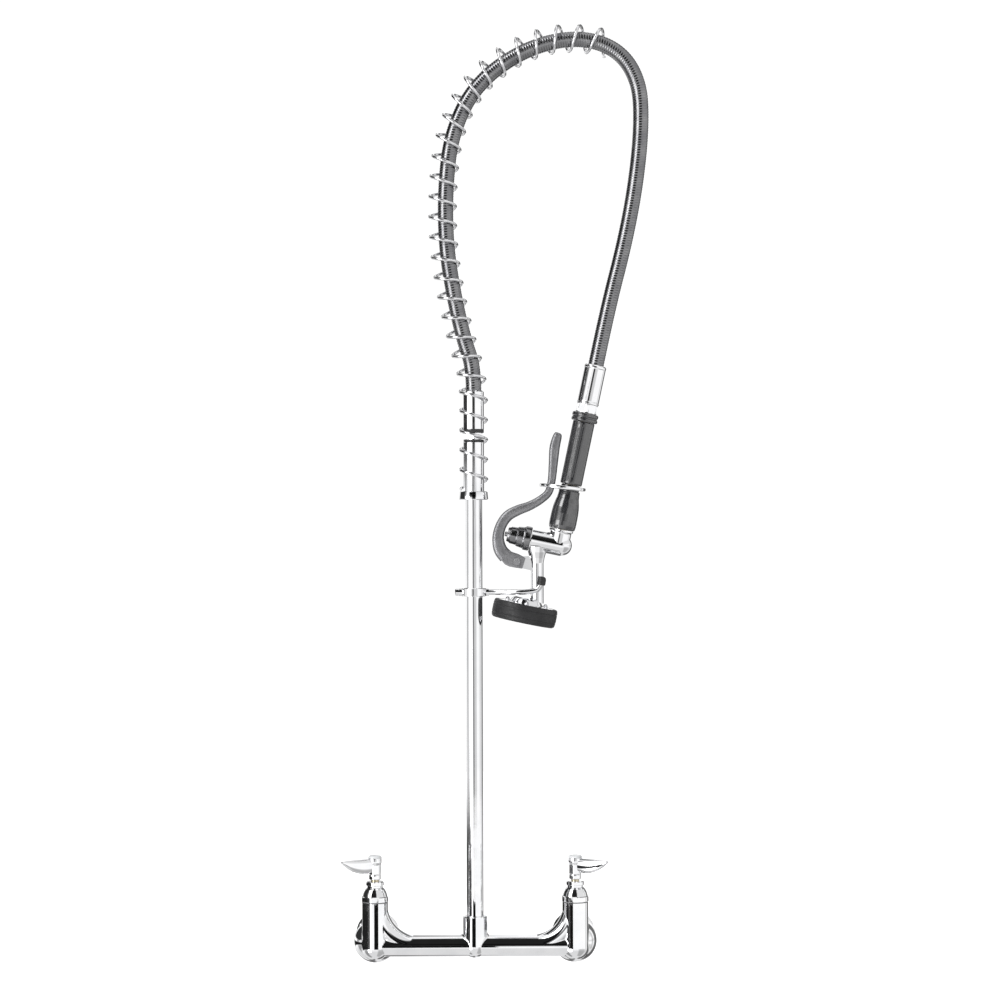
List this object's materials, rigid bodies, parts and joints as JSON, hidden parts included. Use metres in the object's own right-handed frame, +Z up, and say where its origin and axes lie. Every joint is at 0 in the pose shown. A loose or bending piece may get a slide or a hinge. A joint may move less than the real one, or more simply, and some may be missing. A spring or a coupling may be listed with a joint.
{
  "type": "pre rinse faucet",
  "caption": "Wall-mounted pre-rinse faucet: two-handle mixing body, tall riser, overhead spring round a metal hose, and a squeeze-lever spray valve parked on a finger hook.",
  "frame": {"origin": "on the wall plane, midway between the two supply inlets", "axes": "+Z up along the riser, +Y into the wall, so the faucet stands out along -Y; +X towards the spray valve"},
  "size_m": [0.3149, 0.099, 0.9541],
  "materials": {
    "chrome_body": "polished chrome plate",
    "chrome_trim": "polished chrome plate",
    "brass": "machined brass",
    "stainless_spring": "bright drawn stainless wire",
    "stainless_hose": "interlocked stainless hose",
    "stainless_screw": "stainless",
    "lever_metal": "satin grey metal",
    "grip_grey": "moulded heat-resistant grip",
    "bumper_rubber": "moulded rubber",
    "seal_rubber": "moulded rubber",
    "index_cap_plastic": "glossy cap"
  },
  "bodies": {
    "faucet_body": {"valve_body": "chrome_body", "left_inlet_flange": "chrome_trim", "right_inlet_flange": "chrome_trim", "union_nuts": "chrome_trim", "union_washers": "seal_rubber", "valve_seats": "brass", "left_bonnet": "chrome_trim", "right_bonnet": "chrome_trim", "packing_nuts": "chrome_trim", "bonnet_gaskets": "seal_rubber", "stem_packings": "seal_rubber", "riser_pipe": "chrome_body", "spring_guide": "chrome_trim", "spring_collar": "chrome_trim", "collar_set_screw": "stainless_screw", "lower_swivel_ring": "seal_rubber"},
    "hook": {"hook_clamp": "chrome_trim", "hook_finger": "chrome_trim", "clamp_screw": "chrome_trim", "hook_tip_sleeve": "bumper_rubber"},
    "arch": {"hose_swivel_nut": "chrome_trim", "upper_swivel_ring": "seal_rubber", "hose_washer": "seal_rubber", "riser_end_ferrule": "chrome_trim", "hose": "stainless_hose", "overhead_spring": "stainless_spring", "grip_end_ferrule": "chrome_trim", "grip_nut": "chrome_trim", "grip_collar": "grip_grey", "upper_grip": "grip_grey", "lower_grip": "grip_grey", "grip_core_tube": "brass", "gun_body": "chrome_body", "gun_bonnet": "chrome_trim", "plunger_packing": "seal_rubber", "gun_valve_seat": "brass", "return_spring": "stainless_spring", "lever_pivot_pin": "stainless_screw", "spray_cup": "chrome_body", "bumper_ring": "bumper_rubber", "spray_face": "stainless_screw", "face_gasket": "seal_rubber", "face_screws": "stainless_screw"},
    "lever": {"squeeze_lever": "lever_metal"},
    "plunger": {"plunger": "stainless_screw"},
    "ring": {"hold_down_ring": "chrome_trim"},
    "left_handle": {"left_stem": "brass", "left_lever_handle": "chrome_body", "left_handle_screw": "stainless_screw", "left_index_cap": "index_cap_plastic"},
    "left_washer": {"left_washer_holder": "brass", "left_seat_washer": "seal_rubber", "left_washer_screw": "stainless_screw"},
    "right_handle": {"right_stem": "brass", "right_lever_handle": "chrome_body", "right_handle_screw": "stainless_screw", "right_index_cap": "index_cap_plastic"},
    "right_washer": {"right_washer_holder": "brass", "right_seat_washer": "seal_rubber", "right_washer_screw": "stainless_screw"}
  },
  "joints": [
    {"name": "left_handle_turn", "type": "hinge", "parent": "faucet_body", "child": "left_handle", "pos_m": [-0.1016, -0.066, 0.07], "axis": [0, 0, 1], "range_deg": [0, 90]},
    {"name": "right_handle_turn", "type": "hinge", "parent": "faucet_body", "child": "right_handle", "pos_m": [0.1016, -0.066, 0.07], "axis": [0, 0, 1], "range_deg": [-90, 0]},
    {"name": "left_washer_lift", "type": "slide", "parent": "faucet_body", "child": "left_washer", "axis": [0, 0, 1], "range_m": [0, 0.0018]},
    {"name": "right_washer_lift", "type": "slide", "parent": "faucet_body", "child": "right_washer", "axis": [0, 0, 1], "range_m": [0, 0.0018]},
    {"name": "arch_swing", "type": "hinge", "parent": "faucet_body", "child": "arch", "pos_m": [0, -0.066, 0.515], "axis": [0, 0, 1], "range_deg": [-158, 18]},
    {"name": "hook_swing", "type": "hinge", "parent": "faucet_body", "child": "hook", "pos_m": [0, -0.066, 0.3556], "axis": [0, 0, 1], "range_deg": [-158, 18]},
    {"name": "lever_squeeze", "type": "hinge", "parent": "arch", "child": "lever", "pos_m": [0.04322, -0.066, 0.38657], "axis": [0, 1, 0], "range_deg": [0, 2.6], "stiffness_Nm_per_rad": 4, "springref_deg": -4.58},
    {"name": "plunger_push", "type": "slide", "parent": "arch", "child": "plunger", "axis": [0.9781, 0, -0.2079], "range_m": [0, 0.0012], "deforming": ["return_spring"]},
    {"name": "ring_slide", "type": "slide", "parent": "arch", "child": "ring", "axis": [0.2079, 0, 0.9781], "range_m": [0, 0.012]}
  ],
  "couplings": [
    {"joint": "left_washer_lift", "follows": "left_handle_turn", "m_per_rad": 0.001082},
    {"joint": "right_washer_lift", "follows": "right_handle_turn", "m_per_rad": -0.001082},
    {"joint": "hook_swing", "follows": "arch_swing", "ratio": 1},
    {"joint": "plunger_push", "follows": "lever_squeeze", "m_per_rad": 0.0252}
  ]
}
